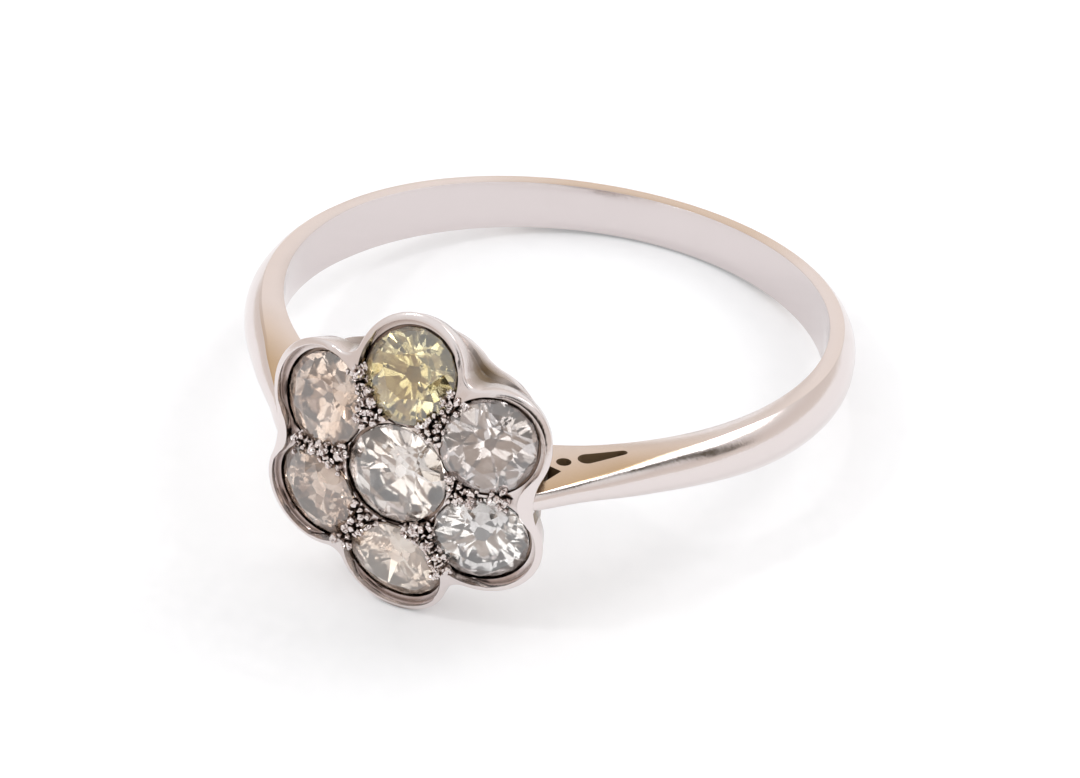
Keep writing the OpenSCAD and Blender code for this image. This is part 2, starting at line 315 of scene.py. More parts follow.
# %% [markdown]
# ## Old-cut diamond
# An old diamond is cut by hand, so its facets are large and uneven. Light enters through the
# crown, the facets below turn it back, and it leaves as panes of white, grey and brown. Panes
# could be painted on, but then they wouldn't move with the view, so the stone is a glass with
# diamond's index of 2.42 and its facets do the work. Age and inclusions make an old stone
# cloudy: a noise tints it unevenly, and a tenth or so of it is milky and lets no light through.

# %% Diamond
DIAMOND_IOR = 2.42
CLOUD = 1.1           # Size of the clouds in a stone, in mm
CLOUD_STEP = 3.7      # How far the clouds are moved from one stone to the next, in mm


def diamond(name, clear, cloudy, clarity, moved_by):
    """A glass of diamond's index, with clearer and cloudier parts."""
    material, tree, shader = new_material(name)
    place = add_node(tree, "ShaderNodeTexCoord").outputs["Object"]
    moved = add_node(tree, "ShaderNodeMapping",
                     {"Vector": place, "Location": (moved_by * MM, 0, 0)})
    cloud = add_node(tree, "ShaderNodeTexNoise",
                     {"Vector": moved.outputs[0], "Scale": 1 / (CLOUD * MM), "Detail": 3.0})
    tint = set_ramp(add_node(tree, "ShaderNodeValToRGB", {0: cloud.outputs["Fac"]}),
                    [(0.42, colour(clear)), (0.62, colour(cloudy))])
    tree.links.new(tint.outputs["Color"], shader.inputs["Base Color"])
    shader.inputs["Roughness"].default_value = 0.05
    shader.inputs["IOR"].default_value = DIAMOND_IOR
    shader.inputs["Transmission Weight"].default_value = clarity
    return material


# Each stone's clear tint, cloudy tint and clarity: the centre stone, then the petals, which are
# counted from the right shoulder. The third stone is a yellow one
TINTS = [
    ("#FFFBF7", "#E8DCD2", 0.94), ("#F3ECEA", "#C4B8B2", 0.92), ("#F8F0C4", "#DCC684", 0.94),
    ("#F6E4D6", "#D6BAA4", 0.9), ("#E4D0C0", "#AC8E7A", 0.9), ("#FFF4E8", "#EAD2BE", 0.84),
    ("#FFFCF9", "#DCD8D6", 0.94),
]
print("diamonds to cut:", len(TINTS), "with an index of", DIAMOND_IOR)

# %% [markdown]
# ## The band
# A jeweller draws a strip to a D-shaped section and bends it round a mandrel. Spin does the same
# here: it carries one section round the finger. The real band isn't even, so each point of the
# spun strip is then moved to the width, edge height and dome that the band has at its angle.

# %% How the band's section changes, from the head to its widest place
# Share of the way, width inside and outside, the edge's height from 0 at the sides to 1 at the
# root, and the dome's rise. The widths and the rise are shares of those at the widest place
ALONG, INNER_W, OUTER_W, EDGE_H, DOME_RISE = range(5)
FRONT_SECTIONS = [
    [0.00, 0.40, 0.32, 1.00, 0.36], [0.10, 0.45, 0.44, 0.61, 0.60],
    [0.20, 0.54, 0.62, 0.37, 0.85], [0.29, 0.62, 0.76, 0.215, 1.05],
    [0.40, 0.70, 0.86, 0.125, 1.14], [0.54, 0.80, 0.96, 0.075, 1.14],
    [0.70, 0.90, 1.00, 0.04, 1.08], [1.00, 1.00, 1.00, 0.00, 1.00],
]


def smooth_lookup(share, column):
    """A smooth curve through the table's values that never swings past them."""
    rows = FRONT_SECTIONS
    slopes = [(b[column] - a[column]) / (b[ALONG] - a[ALONG]) for a, b in zip(rows, rows[1:])]

    def tangent(k):
        before, after = slopes[max(k - 1, 0)], slopes[min(k, len(slopes) - 1)]
        return 0.0 if before * after <= 0 else 2 * before * after / (before + after)
    k = max(i for i in range(len(slopes)) if rows[i][ALONG] <= share or i == 0)
    span = rows[k + 1][ALONG] - rows[k][ALONG]
    t = (share - rows[k][ALONG]) / span
    return ((2 * t ** 3 - 3 * t ** 2 + 1) * rows[k][column]
            + (t ** 3 - 2 * t ** 2 + t) * span * tangent(k)
            + (3 * t ** 2 - 2 * t ** 3) * rows[k + 1][column]
            + (t ** 3 - t ** 2) * span * tangent(k + 1))


print("dome at a fifth of the way, as a share:", round(smooth_lookup(0.2, DOME_RISE), 2))

# %% The band's measures at any angle
ROOT_H = math.hypot(ROOT_REACH, dome_z(ROOT_REACH) - ROOT_DROP) - BORE_R


def band_at(angle):
    """Half widths inside and outside, edge height and dome rise at an angle from the head."""
    a = min(angle, 360 - angle)
    share = clamp((a - ROOT) / (WIDEST - ROOT))
    back = clamp((a - WIDEST) / (180 - WIDEST))
    width = blend(SIDE_W, BACK_W, (1 - math.cos(math.pi * back)) / 2)
    return (width * smooth_lookup(share, INNER_W) / 2, width * smooth_lookup(share, OUTER_W) / 2,
            blend(SIDE_H, ROOT_H, smooth_lookup(share, EDGE_H)),
            DOME_H * smooth_lookup(share, DOME_RISE))


print("half widths, edge and dome at the back:", [round(v, 3) for v in band_at(180)])

# %% Spin a section round the finger
DOME_LINES = 18
SPIN_STEPS = 300
SPUN_R = 10           # Any radius will do here, because each point is moved later
EDGE, DOME = 1, 2     # How far up a point is: 0 inside, 1 at the edge and 2 on the dome


def spun_strip():
    bm = bmesh.new()
    # Each point of the section is how far across it is, from -1 to 1, and how far up
    line = [(-1, 0), (-0.5, 0), (0, 0), (0.5, 0), (1, 0), (1, 0.5), (1, EDGE)]
    line += [(math.cos(math.pi * k / DOME_LINES), DOME) for k in range(1, DOME_LINES)]
    line += [(-1, EDGE), (-1, 0.5)]
    start = [bm.verts.new((across, 0, SPUN_R + up)) for across, up in line]
    edges = [bm.edges.new((start[k], start[(k + 1) % len(start)])) for k in range(len(start))]
    # The section lies in the plane of x and z until it is turned to face along the finger
    for turn, axis in ((math.pi / 2, "Z"), (math.radians(ROOT), "Y")):
        bmesh.ops.rotate(bm, verts=bm.verts, cent=(0, 0, 0), matrix=Matrix.Rotation(turn, 3, axis))
    bmesh.ops.spin(bm, geom=start + edges, cent=(0, 0, 0), axis=(0, 1, 0), dvec=(0, 0, 0),
                   angle=math.radians(360 - 2 * ROOT), steps=SPIN_STEPS, use_merge=False,
                   use_duplicate=False)
    return bm


band = spun_strip()
print("strip:", len(band.verts), "points")


# %% Shape the strip and wear its corners
def shape_band(bm):
    """Move each point to where the band has it at its angle, and close the two ends."""
    for vert in bm.verts:
        across, angle = vert.co.y, math.degrees(math.atan2(vert.co.x, vert.co.z)) % 360
        up = math.hypot(vert.co.x, vert.co.z) - SPUN_R
        inner, outer, edge_h, rise = band_at(angle)
        y = across * blend(inner, outer, min(up, EDGE))
        r = BORE_R + edge_h * min(up, EDGE)
        if up > (EDGE + DOME) / 2:
            arc_r = (outer ** 2 + rise ** 2) / (2 * rise)
            y = across * outer
            r += math.sqrt(arc_r ** 2 - y ** 2) - (arc_r - rise)
        turn = math.radians(angle)
        vert.co = (r * math.sin(turn), y, r * math.cos(turn))
    bmesh.ops.holes_fill(bm, edges=[e for e in bm.edges if e.is_boundary], sides=0)
    face_outwards(bm)


shape_band(band)
round_corners(band, 21, 0.05, 3)
print("band:", len(band.faces), "faces")

# %% [markdown]
# ## The head
# The head is a thick block with a scalloped outline. It could be carved, but a setter's block is
# simply the same outline at several heights, so a circle of points is pulled to the outline and
# extruded from level to level: foot, gallery rail, groove, rim, and down again to the ground.

# %% The rim's outline, as a distance from the head's axis for each direction
SHOULDER_FILLET = 2.2  # Radius of the wide fillets where the shoulders meet the rim
VALLEY_FILLET = 0.5    # Radius of the small ones between the other scallops
# How far a petal stands from the axis along a valley's direction, and how far to its side
NECK, HALF = PETAL_RING_R * math.cos(math.radians(30)), PETAL_RING_R * 0.5


def rim_r(angle):
    """The outline is a scallop's arc, or a fillet's near a valley."""
    sector = round(angle / 60)
    off = angle - 60 * sector
    f = SHOULDER_FILLET if sector % 3 == 0 else VALLEY_FILLET
    centre = NECK + math.sqrt((SCALLOP_R + f) ** 2 - HALF ** 2)
    # The two arcs meet on the line between their centres
    petal = Vector((NECK, HALF))
    meet = petal + (Vector((centre, 0)) - petal).normalized() * SCALLOP_R
    if abs(off) < math.degrees(math.atan2(meet.y, meet.x)):
        s = math.sin(math.radians(off)) * centre
        return math.cos(math.radians(off)) * centre - math.sqrt(f * f - s * s)
    from_petal = math.radians(30 - abs(off))
    s = math.sin(from_petal) * PETAL_RING_R
    return math.cos(from_petal) * PETAL_RING_R + math.sqrt(SCALLOP_R ** 2 - s * s)


REACH = PETAL_RING_R + SCALLOP_R
VALLEY = rim_r(60)


def lobe_at(r, steepness=1.0):
    """0 where the outline is as near as a valley, rising to 1 at the top of a scallop."""
    return clamp((r - VALLEY) / (REACH - VALLEY) * steepness)


print("the rim's reach and its valley:", round(REACH, 2), round(VALLEY, 2))

# %% The levels of the head's wall and ground
# Each wall level: share of the way down, and how far in at the scallops and in the valleys, as
# shares of a scallop's radius
WALL = [(1.00, 0.62, 0.18), (0.72, 0.46, 0.09), (0.68, 0.55, 0.19), (0.40, 0.36, 0.14),
        (0.36, 0.16, 0.03), (0.03, 0.00, 0.00), (0.00, 0.03, 0.03)]
# Each level inside the rim: depth, how far the rim's inner wall leans in, and share of the reach
GROUND = [(0, 0, 1), (GROUND_DEPTH, 0.04, 1), (GROUND_DEPTH, 0.04, 0.7),
          (GROUND_DEPTH, 0.04, 0.35)]
RIM_T = 0.2           # Thickness of the rim round a stone
PLATE_T = 0.62        # Its thickness in a valley, where it widens to a flat plate


def wall_point(angle, level):
    r = rim_r(angle)
    top = dome_z(r)
    down, scallop, valley = level
    return r - SCALLOP_R * blend(valley, scallop, lobe_at(r)), top - down * (top - FOOT_Z)


def inner_point(angle, level):
    r = rim_r(angle)
    depth, lean, reach = level
    r = (r - blend(PLATE_T, RIM_T, lobe_at(r, 1.6)) - lean) * reach
    return r, dome_z(r) - depth


print("the outer wall has", len(WALL), "levels, and the inner one and the ground", len(GROUND))

# %% Extrude the head from level to level
AROUND = 360


def head_bmesh():
    bm = bmesh.new()
    bmesh.ops.create_circle(bm, cap_ends=False, radius=1, segments=AROUND)
    ring = list(bm.edges)
    levels = [(wall_point, level) for level in WALL] + [(inner_point, level) for level in GROUND]
    for k, (place, level) in enumerate(levels):
        if k:
            made = bmesh.ops.extrude_edge_only(bm, edges=ring)["geom"]
            ring = [g for g in made if isinstance(g, bmesh.types.BMEdge)
                    and len(g.link_faces) == 1]
        for vert in {v for e in ring for v in e.verts}:
            angle = math.atan2(vert.co.y, vert.co.x)
            r, z = place(math.degrees(angle), level)
            vert.co = (r * math.cos(angle), r * math.sin(angle), z)
    bmesh.ops.holes_fill(bm, edges=[e for e in bm.edges if e.is_boundary], sides=0)
    face_outwards(bm)
    return bm


head = head_bmesh()
round_corners(head, 28, 0.035, 2)
print("head:", len(head.faces), "faces")

# %% [markdown]
# ## Seats and piercings
# The setter drills a hole for each stone and cuts a ledge for its girdle, and the shoulders are
# pierced with a fine saw. Both are cuts, so cutters are made and a Boolean modifier takes them
# away. A seat is turned on a lathe, which is a spun outline; a piercing is a short prism.

# %% Places of the stones
def at_petal(k):
    """Petals start beside the right shoulder and go round, each leaning out with the dome."""
    return (Matrix.Rotation(math.radians(60 * k + 30), 4, "Z")
            @ Matrix.Translation((PETAL_RING_R, 0, HEAD_H))
            @ Matrix.Rotation(PETAL_TILT, 4, "Y") @ Matrix.Translation((0, 0, -CROWN_H)))


AT_CENTRE = Matrix.Translation((0, 0, HEAD_H + CENTRE_RISE - CROWN_H))
print("heights of the girdles in mm:",
      [round(place.translation.z, 2) for place in (AT_CENTRE, at_petal(0))])

# %% A seat, turned on a lathe
LEDGE_W = 0.14        # Width of the ledge that the girdle sits on
OPEN_BACK = 0.72      # Width of the open back behind a stone, as a share of the seat
SEAT_TOP = 2          # The cutter reaches this far above the girdle, clear of the dome
SEAT_DEPTH = HEAD_H - BORE_R - 0.2  # And this far below it, through the foot of the head


def seat_cutter(diameter, place):
    r, under = diameter / 2 + SEAT_GAP, -GIRDLE_T - SEAT_GAP
    # The bevel round the stone widens upwards, and is cut bright
    outline = [(0, SEAT_TOP), (r + BRIGHT_CUT * SEAT_TOP / CROWN_H, SEAT_TOP), (r, 0), (r, under),
               (r - LEDGE_W, under), (r * OPEN_BACK, under - CROWN_H),
               (r * OPEN_BACK, -SEAT_DEPTH), (0, -SEAT_DEPTH)]
    bm = bmesh.new()
    verts = [bm.verts.new((x, 0, z)) for x, z in outline]
    edges = [bm.edges.new(pair) for pair in zip(verts, verts[1:])]
    bmesh.ops.spin(bm, geom=verts + edges, cent=(0, 0, 0), axis=(0, 0, 1), dvec=(0, 0, 0),
                   angle=math.tau, steps=96, use_merge=True, use_duplicate=False)
    bmesh.ops.remove_doubles(bm, verts=bm.verts, dist=0.0001)
    bmesh.ops.transform(bm, matrix=place, verts=bm.verts)
    face_outwards(bm)
    return bm


cutters = [seat_cutter(CENTRE_D, AT_CENTRE)] + [seat_cutter(PETAL_D, at_petal(k)) for k in range(6)]
print("seats:", len(cutters))

# %% A piercing, sawn through a shoulder
# Each piercing is the hull of round rods: turn from the root, share of the height, radius. They
# are the round hole, the long tapered slot and the three-cornered notch beside the head
PIERCINGS = [
    [(5.0, 0.42, 0.23)],
    [(9.3, 0.42, 0.29), (16.1, 0.42, 0.14)],
    [(2.3, 0.47, 0.03), (4.3, 0.63, 0.03), (1.8, 0.78, 0.03)],
]
SAW_REACH = 1.5       # Half a rod's length, more than half the shoulder's width


def web_point(turn, share, side):
    r, a = BORE_R + band_at(ROOT + turn)[2] * share, math.radians(ROOT + turn)
    return Vector((side * r * math.sin(a), 0, r * math.cos(a)))


def piercing_cutter(rods, side):
    bm = bmesh.new()
    for turn, share, r in rods:
        for y in (-SAW_REACH, SAW_REACH):
            place = Matrix.Translation(web_point(turn, share, side) + Vector((0, y, 0)))
            place = place @ Matrix.Rotation(math.pi / 2, 4, "X")
            bmesh.ops.create_circle(bm, cap_ends=False, segments=32, radius=r, matrix=place)
    bmesh.ops.delete(bm, geom=bm.edges, context="EDGES_FACES")
    stretch_hull(bm)
    face_outwards(bm)
    return bm


cutters += [piercing_cutter(rods, side) for side in (1, -1) for rods in PIERCINGS]
print("cutters:", len(cutters), "closed:",
      all(e.is_manifold for shape in cutters for e in shape.edges))

# %% [markdown]
# ## Soldering and cutting
# The band and the head are made apart and soldered, and then drilled and sawn as one. A Boolean
# modifier does both. It needs objects, so each bmesh becomes one for a moment, and the result
# goes back into the bmesh. The exact solver is slower than the others, and it leaves no gaps.

# %% Solder the band to the head, and cut
MERGED = 0.0005       # Points nearer than half a micron are one point


def combine(bm, tools, operation):
    """Join closed shapes to a bmesh, or cut them out of it, and keep the result."""
    collection = bpy.data.collections.new("tools")
    objects = []
    for shape in [bm] + tools:
        mesh = bpy.data.meshes.new("shape")
        shape.to_mesh(mesh)
        objects.append(bpy.data.objects.new("shape", mesh))
    for tool in objects[1:]:
        collection.objects.link(tool)
    bpy.context.scene.collection.objects.link(objects[0])
    bpy.context.scene.collection.children.link(collection)
    modifier = objects[0].modifiers.new("combine", "BOOLEAN")
    modifier.operation, modifier.solver = operation, "EXACT"
    modifier.operand_type, modifier.collection = "COLLECTION", collection
    result = objects[0].evaluated_get(bpy.context.evaluated_depsgraph_get()).to_mesh()
    bm.clear()
    bm.from_mesh(result)
    for obj in objects:
        bpy.data.objects.remove(obj)
    bpy.data.collections.remove(collection)
    for tool in tools:
        tool.free()
    bmesh.ops.remove_doubles(bm, verts=bm.verts, dist=MERGED)
    bmesh.ops.dissolve_degenerate(bm, edges=bm.edges, dist=MERGED)
    print(operation, len(bm.faces), "faces, volume", round(bm.calc_volume(), 1),
          "mm3, open edges", sum(1 for e in bm.edges if not e.is_manifold))


combine(head, [band], "UNION")
combine(head, cutters, "DIFFERENCE")

# %% [markdown]
# ## Wear, tarnish and grime
# What a hand or a cloth rubs stays bright, and what it doesn't reach goes brown. The inside of
# the band is evenly dull, the sides of the shoulders are tarnished most towards their outer
# edge, the back of the band a little, and the piercings and the groove above the gallery rail
# hold grime. These marks could be painted by hand, but each place is known from where it is and
# which way it faces, so a few rules give every face corner its numbers.

# %% How dirty a spot is
GROOVE = (0.33, 0.76)  # Where the groove is, as shares of the way down from rim to foot
WALL_IN = 0.6          # The wall stays outside this share of the rim's distance


def grime_in_groove(point):
    """Most grime lies in the valleys between the scallops, and none on the ground inside."""
    rim = rim_r(math.degrees(math.atan2(point.y, point.x)))
    down = (dome_z(rim) - point.z) / (dome_z(rim) - FOOT_Z)
    if not GROOVE[0] < down < GROOVE[1] or math.hypot(point.x, point.y) <= WALL_IN * rim:
        return 0.0
    return blend(1.0, 0.25, lobe_at(rim, 1.5))


def tarnish_at(point):
    """Strongest on the shoulders, and again, but less, at the back of the band."""
    turn = abs(math.degrees(math.atan2(point.x, point.z)))
    up = (math.hypot(point.x, point.z) - BORE_R) / band_at(max(turn, ROOT))[2]
    # It fades between 36 and 60 degrees from the head, and from the outer edge to the finger
    shoulder = clamp((60 - turn) / 24, 0.1) * clamp(blend(0.3, 1.0, up))
    # From 135 degrees on it comes back, to a little over half
    return max(shoulder, min(0.6, (turn - 135) / 40))


print("tarnish on the side's outer edge, 30, 90 and 180 degrees from the head:",
      [round(tarnish_at(web_point(a - ROOT, 1, 1)), 2) for a in (30, 90, 180)])

# %% Mark the mount
SKIN = 0.05           # The inside of the band is within this of the finger hole
INWARDS = -0.7        # How far outwards the normal of an inside face points, at most
FLAT_SIDE = 0.85      # How far along the finger the normal of a side face points, at least
SAWN = 0.3            # The same for the wall of a saw cut, at most
BAND_HALF = 1         # The band stays within this of its middle plane
SAWN_HALF = 0.9       # The walls of its piercings stay within this
WEB = (0.8, 20)       # The pierced part of a shoulder, in degrees from the root
WEB_FRAME = (0.06, 0.03)  # What is left whole of its height, inside and outside
HEAD_END = ROOT + 3   # The head ends at this angle
HEAD_SIDE = 0.5       # Nearer its middle plane than this, the band hides the groove


def mark_wear(bm):
    """Mark each face corner as dull inside of the band, tarnished side, or grime."""
    inside, tarnish, grime = [bm.loops.layers.float.new(name) for name, tint in MARKS]
    for face in bm.faces:
        middle, along = face.calc_center_median(), abs(face.normal.y)
        r = math.hypot(middle.x, middle.z)
        outward = (face.normal.x * middle.x + face.normal.z * middle.z) / r
        a = abs(math.degrees(math.atan2(middle.x, middle.z)))
        in_web = (ROOT + WEB[0] < a < ROOT + WEB[1]
                  and BORE_R + WEB_FRAME[0] < r < BORE_R + band_at(a)[2] - WEB_FRAME[1])
        for loop in face.loops:
            if r < BORE_R + SKIN and outward < INWARDS:
                loop[inside] = 1.0
            elif along > FLAT_SIDE and abs(middle.y) < BAND_HALF and a > ROOT:
                loop[tarnish] = tarnish_at(loop.vert.co)
            elif in_web and along < SAWN and abs(middle.y) < SAWN_HALF:
                loop[grime] = 1.0
            elif a < HEAD_END and abs(middle.y) > HEAD_SIDE:
                loop[grime] = grime_in_groove(loop.vert.co)
    for name, layer in (("inside", inside), ("tarnish", tarnish), ("grime", grime)):
        print(name, "marks", sum(any(loop[layer] > 0 for loop in face.loops) for face in bm.faces),
              "faces")


mark_wear(head)
add_piece("mount", mesh_from(head, "mount"), PLATINUM, ["ring_mount"])

# %% [markdown]
# ## Grains
# Between the stones the setter raises small grains of metal with a graver and rounds them with
# a beading tool, so that they grip the stones' edges. They crowd each gap with no order, so
# places are tried at random, and each that keeps clear of the grains before it is used. A seed
# makes the same grains each time. No grain is a true ball: each is stretched a little, turned,
# and given lumps by a noise, and one in seven or so is a big one.

# %% Where a grain may stand
random.seed(7)
GRAIN_STEP = 0.2      # Least distance between two grains
GRIP = 0.08           # How far a grain may stand over the edge of a stone
GAP_START = 1.75      # Where a gap begins, beside the centre stone, from the head's axis
GAP_HALF = 0.5        # Half the width of a gap
GROUND_END = 0.72     # How far inside the rim's outline the sunk ground ends
PLATE_GRAINS = 0.26   # How far onto the flat plate of a valley the grains go


def on_circle(r, degrees):
    return Vector((r * math.cos(math.radians(degrees)), r * math.sin(math.radians(degrees))))


CENTRES = [Vector((0, 0))] + [on_circle(PETAL_RING_R, 60 * k + 30) for k in range(6)]


def grain_fits(point, placed):
    """Grains overlap the edges of the stones by a little and keep clear of each other."""
    for k, centre in enumerate(CENTRES):
        if (point - centre).length < (PETAL_D if k else CENTRE_D) / 2 - GRIP:
            return False
    return all((point - other).length > GRAIN_STEP for other in placed)


def grain_matrix(point, wall):
    """Size, turn and place of a grain: on the sunk ground, or on the plate beyond its wall."""
    # A radius of 0.08 to 0.15 mm, and one grain in seven is half as large again
    size = random.uniform(0.08, 0.15) * (1.5 if random.random() < 0.15 else 1)
    # How far its middle is under the dome: the ground is sunk, and the plate isn't
    sunk = 0.22 if point.length < wall else 0.02
    z = dome_z(point.length) - sunk + random.uniform(-0.05, 0.05)
    turn = random.uniform(0, 3)
    wide, tall = random.uniform(0.7, 1.0), random.uniform(0.9, 1.4)
    return (Matrix.Translation((point.x, point.y, z)) @ Matrix.Rotation(turn, 4, "Z")
            @ Matrix.Diagonal((size, size * wide, size * tall, 1)))


print("grains keep", GRAIN_STEP, "mm apart and overlap a stone by", GRIP, "mm at most")

# %% Raise the grains in each gap
TRIES = 900
LUMP = 0.6            # How far the lumps stand out, as a share of a grain's size
FINENESS = 11         # Lumps in a millimetre
grains = bmesh.new()
placed = []
for gap in range(6):
    along = on_circle(1, 60 * gap)
    across = Vector((-along.y, along.x))
    wall = rim_r(60 * gap) - GROUND_END
    end = wall + (0.0 if gap % 3 == 0 else PLATE_GRAINS)
    for attempt in range(TRIES):
        point = (along * random.uniform(GAP_START, end)
                 + across * random.uniform(-GAP_HALF, GAP_HALF))
        if grain_fits(point, placed):
            placed.append(point)
            place = grain_matrix(point, wall)
            ball = bmesh.ops.create_icosphere(grains, subdivisions=3, radius=1, matrix=place)
            for vert in ball["verts"]:
                vert.co += (vert.co - place.translation) * LUMP * noise.noise(vert.co * FINENESS)
print(len(placed), "grains")
add_piece("grains", mesh_from(grains, "grains"), GRAIN_PLATINUM, ["ring_mount"])

# %% [markdown]
# ## The stones
# An old cut has an octagonal table, eight star facets, eight kites and sixteen halves above the
# girdle, and eight kites and sixteen halves below it, down to a small flat culet. Its corners
# lie on a few rings, and the facets are nothing but the hull stretched over them. The cutter
# worked by eye, so each corner of the table, the crown and the culet is moved a little.

# %% Cut a stone
UNEVEN_TURN = 60      # Degrees that a corner turns, for each part of the radius that it may move
SQUARISH = 0.025      # How much less wide a stone is across its corners, as on cushion stones


def stone_bmesh(diameter, place, turn):
    """A stone from its rings: share of the radius, height, corners, their turn, and unevenness."""
    bm = bmesh.new()
    r = diameter / 2
    table, culet = random.uniform(0.46, 0.56), random.uniform(0.12, 0.22)
    rings = [(table, CROWN_H, 8, 0, 0.03), (0.78, CROWN_H * 0.56, 8, 22.5, 0.03),
             (1.0, 0, 16, 0, 0), (1.0, -GIRDLE_T, 16, 0, 0),
             (0.82, -GIRDLE_T - PAVILION_H * 0.28, 8, 22.5, 0.02),
             (culet, -GIRDLE_T - PAVILION_H, 6, 0, 0.04)]
    for share, z, corners, offset, chance in rings:
        for k in range(corners):
            a = math.radians(360 * k / corners + offset + turn
                             + UNEVEN_TURN * random.uniform(-chance, chance))
            cushion = 1 - SQUARISH * (1 - math.cos(4 * a)) / 2
            reach = r * (share + random.uniform(-chance, chance)) * cushion
            bm.verts.new((reach * math.cos(a), reach * math.sin(a), z))
    stretch_hull(bm)
    # Facets that are almost in one plane become one
    bmesh.ops.dissolve_limit(bm, angle_limit=math.radians(2.5), verts=bm.verts, edges=bm.edges)
    bmesh.ops.transform(bm, matrix=place, verts=bm.verts)
    face_outwards(bm)
    return bm


stones = [("centre_diamond", "centre_stone", CENTRE_D, AT_CENTRE)]
stones += [(f"petal_diamond_{k + 1}", f"petal_stone_{k + 1}", PETAL_D, at_petal(k))
           for k in range(6)]
print("stones to set:", [name for name, node, diameter, place in stones])

# %% Set the seven stones
for k, (name, node, diameter, place) in enumerate(stones):
    look = diamond(name + "_cut", *TINTS[k], CLOUD_STEP * k)
    stone = stone_bmesh(diameter, place, random.uniform(0, 45))
    piece = add_piece(name, mesh_from(stone, name, 0.1), look, [node])
    # A facet is flat, so no face of a stone is shaded smooth
    for face in piece.data.polygons:
        face.use_smooth = False

# %% [markdown]
# ## The table
# The ring lies on white paper on a light table, which is a pale box that glows a little. So the
# shadow under the ring is faint, and the metal gets some light from below. The table could be a
# lamp, but a plane of matt paper that gives off a little light of its own is enough. Its fibres
# show as clouds of half a millimetre, hardly darker than the rest.

# %% The table
TABLE_HALF = 0.6      # Half a side of the table, in metres
FIBRES = 0.48         # Size of the paper's clouds, in mm
floor_mesh = bpy.data.meshes.new("table")
flat = bmesh.new()
bmesh.ops.create_grid(flat, x_segments=1, y_segments=1, size=TABLE_HALF)
flat.to_mesh(floor_mesh)
flat.free()
floor = bpy.data.objects.new("table", floor_mesh)
bpy.context.scene.collection.objects.link(floor)
paper, paper_tree, paper_shader = new_material("white_paper")
# The pattern is counted from the table's corner
on_table = add_node(paper_tree, "ShaderNodeMapping",
                    {"Vector": add_node(paper_tree, "ShaderNodeTexCoord").outputs["Object"],
                     "Location": (TABLE_HALF, TABLE_HALF, TABLE_HALF)})
fibre = add_node(paper_tree, "ShaderNodeTexNoise",
                 {"Vector": on_table.outputs[0], "Scale": 1 / (FIBRES * MM), "Detail": 3.0})
tone = set_ramp(add_node(paper_tree, "ShaderNodeValToRGB", {0: fibre.outputs["Fac"]}),
                [(0.3, colour("#DCDCDD")), (0.7, colour("#E2E2E3"))])
paper_tree.links.new(tone.outputs["Color"], paper_shader.inputs["Base Color"])
paper_shader.inputs["Emission Color"].default_value = (0.95, 0.97, 1.0, 1.0)
paper_shader.inputs["Emission Strength"].default_value = 0.29
paper_shader.inputs["Roughness"].default_value = 0.8
floor_mesh.materials.append(paper)
print("table:", 2 * TABLE_HALF, "m wide")

# %% [markdown]
# ## The tent of light
# Polished metal shows little but what it mirrors. Small jewels are photographed in a tent of
# white cloth, so that it has something pale to mirror, and openings and dark cards give it its
# contours. Lamps alone would leave it black between their highlights. So the world is the tent,
# painted by direction: walls from a warm grey up to white, a bright patch behind, a window that
# is over four times as bright, two dark cards in front, and a dark strip where two cloths meet.

# %% The walls of the tent, and the cards in them
world = bpy.data.worlds.new("light_tent")
bpy.context.scene.world = world
world.use_nodes = True
tent = world.node_tree
direction = add_node(tent, "ShaderNodeTexCoord").outputs["Generated"]


def toward(azimuth, elevation):
    """A direction, as a vector of length 1, from its compass angle and its height in degrees."""
    a, e = math.radians(azimuth), math.radians(elevation)
    return (math.cos(e) * math.cos(a), math.cos(e) * math.sin(a), math.sin(e))


def card(below, aim, inner_deg, outer_deg, tint):
    """Hang a soft-edged coloured card in the tent, in a direction, over what is below it."""
    near = add_node(tent, "ShaderNodeVectorMath", {0: direction, 1: aim}, operation="DOT_PRODUCT")
    cover = add_node(tent, "ShaderNodeMapRange",
                     {"Value": near.outputs["Value"], "From Min": math.cos(math.radians(outer_deg)),
                      "From Max": math.cos(math.radians(inner_deg))},
                     interpolation_type="SMOOTHSTEP")
    return add_node(tent, "ShaderNodeMix",
                    {SHARE: cover.outputs["Result"], UNDER: below, OVER: tint},
                    data_type="RGBA").outputs[MIXED]


height = add_node(tent, "ShaderNodeSeparateXYZ", {0: direction}).outputs["Z"]
walls = set_ramp(add_node(tent, "ShaderNodeValToRGB", {0: height}), [
    (0.0, colour("#F2EAE4")), (0.3, colour("#E9E0DA")), (0.7, colour("#FFFFFF"))]).outputs["Color"]
# Where each card hangs, its radius in degrees where it starts to fade and where it ends, and
# its light: the patch behind, the window, and the low and the high dark card
CARDS = [((106, 15), 6, 14, (1.06, 1.0, 0.96, 1.0)), ((50, 47), 10, 15, (4.4, 4.4, 4.4, 1.0)),
         ((-68, 13), 9, 14, colour("#2A221C")), ((-65, 39), 6, 10, colour("#1E1A17"))]
for where, inner_deg, outer_deg, tint in CARDS:
    walls = card(walls, toward(*where), inner_deg, outer_deg, tint)
print("cards in the tent:", len(CARDS))

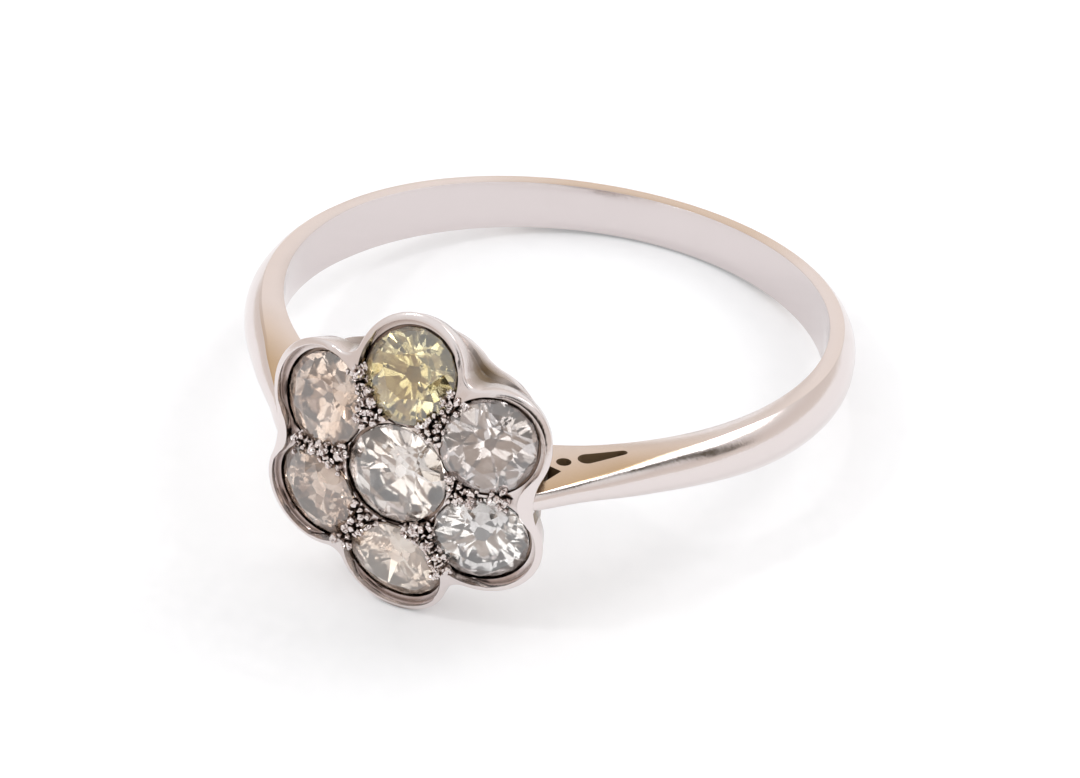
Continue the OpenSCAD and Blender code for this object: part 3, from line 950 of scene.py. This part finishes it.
# %% The dark strip where two cloths meet
STRIP_PLANE = (-0.204, 0.954, -0.219)  # The strip lies along this plane, given by its normal
STRIP_OFFSET = 0.065                   # How far the plane passes from the middle of the tent
plane = add_node(tent, "ShaderNodeVectorMath", {0: direction, 1: STRIP_PLANE},
                 operation="DOT_PRODUCT")
shifted = add_node(tent, "ShaderNodeMath", {0: plane.outputs["Value"], 1: STRIP_OFFSET},
                   operation="ADD")
distance = add_node(tent, "ShaderNodeMath", {0: shifted.outputs[0]}, operation="ABSOLUTE")
in_width = add_node(tent, "ShaderNodeMapRange",
                    {"Value": distance.outputs[0], "From Min": 0.07, "From Max": 0.11,
                     "To Min": 1.0, "To Max": 0.0})
# Along its length it fades out between 20 and 26 degrees from its middle
middle = add_node(tent, "ShaderNodeVectorMath", {0: direction, 1: toward(20, 35)},
                  operation="DOT_PRODUCT")
in_length = add_node(tent, "ShaderNodeMapRange",
                     {"Value": middle.outputs["Value"], "From Min": 0.9, "From Max": 0.94})
strip = add_node(tent, "ShaderNodeMath",
                 {0: in_width.outputs["Result"], 1: in_length.outputs["Result"]},
                 operation="MULTIPLY")
walls = add_node(tent, "ShaderNodeMix",
                 {SHARE: strip.outputs[0], UNDER: walls, OVER: colour("#4E4638")},
                 data_type="RGBA").outputs[MIXED]
print("the strip's half width:", round(math.degrees(math.asin(0.07)), 1), "degrees")

# %% [markdown]
# ## What the stones and the camera see
# A diamond in such a tent would be white all over. A real one shows the dark of the room and of
# the lens as well, broken up by its facets. So light that has passed through a stone meets a
# busier room: large panes, bright ones and brown dark ones. The Light Path node tells such rays
# from those that the metal mirrors. The camera itself sees plain white past the table's edge.

# %% The room, and who sees what
ROOM_PANES = 1.9      # Panes in a length of the sky's radius, so each is some 30 degrees wide
pane = add_node(tent, "ShaderNodeTexVoronoi", {"Vector": direction, "Scale": ROOM_PANES})
shade = add_node(tent, "ShaderNodeSeparateColor", {0: pane.outputs["Color"]})
room = set_ramp(add_node(tent, "ShaderNodeValToRGB", {0: shade.outputs[0]}), [
    (0.0, colour("#2E1F16")), (0.3, colour("#4A382C")), (0.34, colour("#9C8878")),
    (0.6, colour("#C9BAAE")), (0.64, (1.6, 1.56, 1.5, 1)), (1.0, (2.7, 2.7, 2.7, 1))])
path = add_node(tent, "ShaderNodeLightPath")
seen = walls
for ray, view in (("Is Transmission Ray", room.outputs["Color"]), ("Is Camera Ray", (1, 1, 1, 1))):
    seen = add_node(tent, "ShaderNodeMix", {SHARE: path.outputs[ray], UNDER: seen, OVER: view},
                    data_type="RGBA").outputs[MIXED]
tent.links.new(seen, tent.nodes["Background"].inputs["Color"])
tent.nodes["Background"].inputs["Strength"].default_value = 1.0
print("nodes in the tent:", len(tent.nodes))

# %% [markdown]
# ## The lamp and the camera
# A small lamp high on the left adds the sharp glints that soft cloth can't give. The camera has
# a long lens, as for any small thing: a short one would have to come close, and would swell the
# near side of the ring. Depth of field stays off, so every part of the ring is sharp.

# %% A small lamp
LAMP_AWAY = 0.25      # How far the lamp is from the ring, in metres
lamp = bpy.data.lights.new("small_lamp", "AREA")
lamp.size, lamp.energy = 0.02, 0.05
holder = bpy.data.objects.new("small_lamp", lamp)
bpy.context.scene.collection.objects.link(holder)
holder.location = Vector(toward(-140, 55)) * LAMP_AWAY
holder.rotation_euler = (-holder.location).to_track_quat("-Z", "Y").to_euler()
print("lamp at, in mm:", [round(c * 1000) for c in holder.location])

# %% The camera
camera_data = bpy.data.cameras.new("camera")
camera_data.lens, camera_data.sensor_width = 165.13, 36
camera_data.clip_start, camera_data.clip_end = 0.005, 5
camera = bpy.data.objects.new("camera", camera_data)
bpy.context.scene.collection.objects.link(camera)
camera.location = (0.051169, -0.110337, 0.098958)
camera.rotation_euler = [math.radians(a) for a in (51.1593, 0.0681, 24.794)]
bpy.context.scene.camera = camera
bpy.context.scene.view_settings.view_transform = "Standard"
print("the camera is", round(camera.location.length * 1000), "mm from the ring")
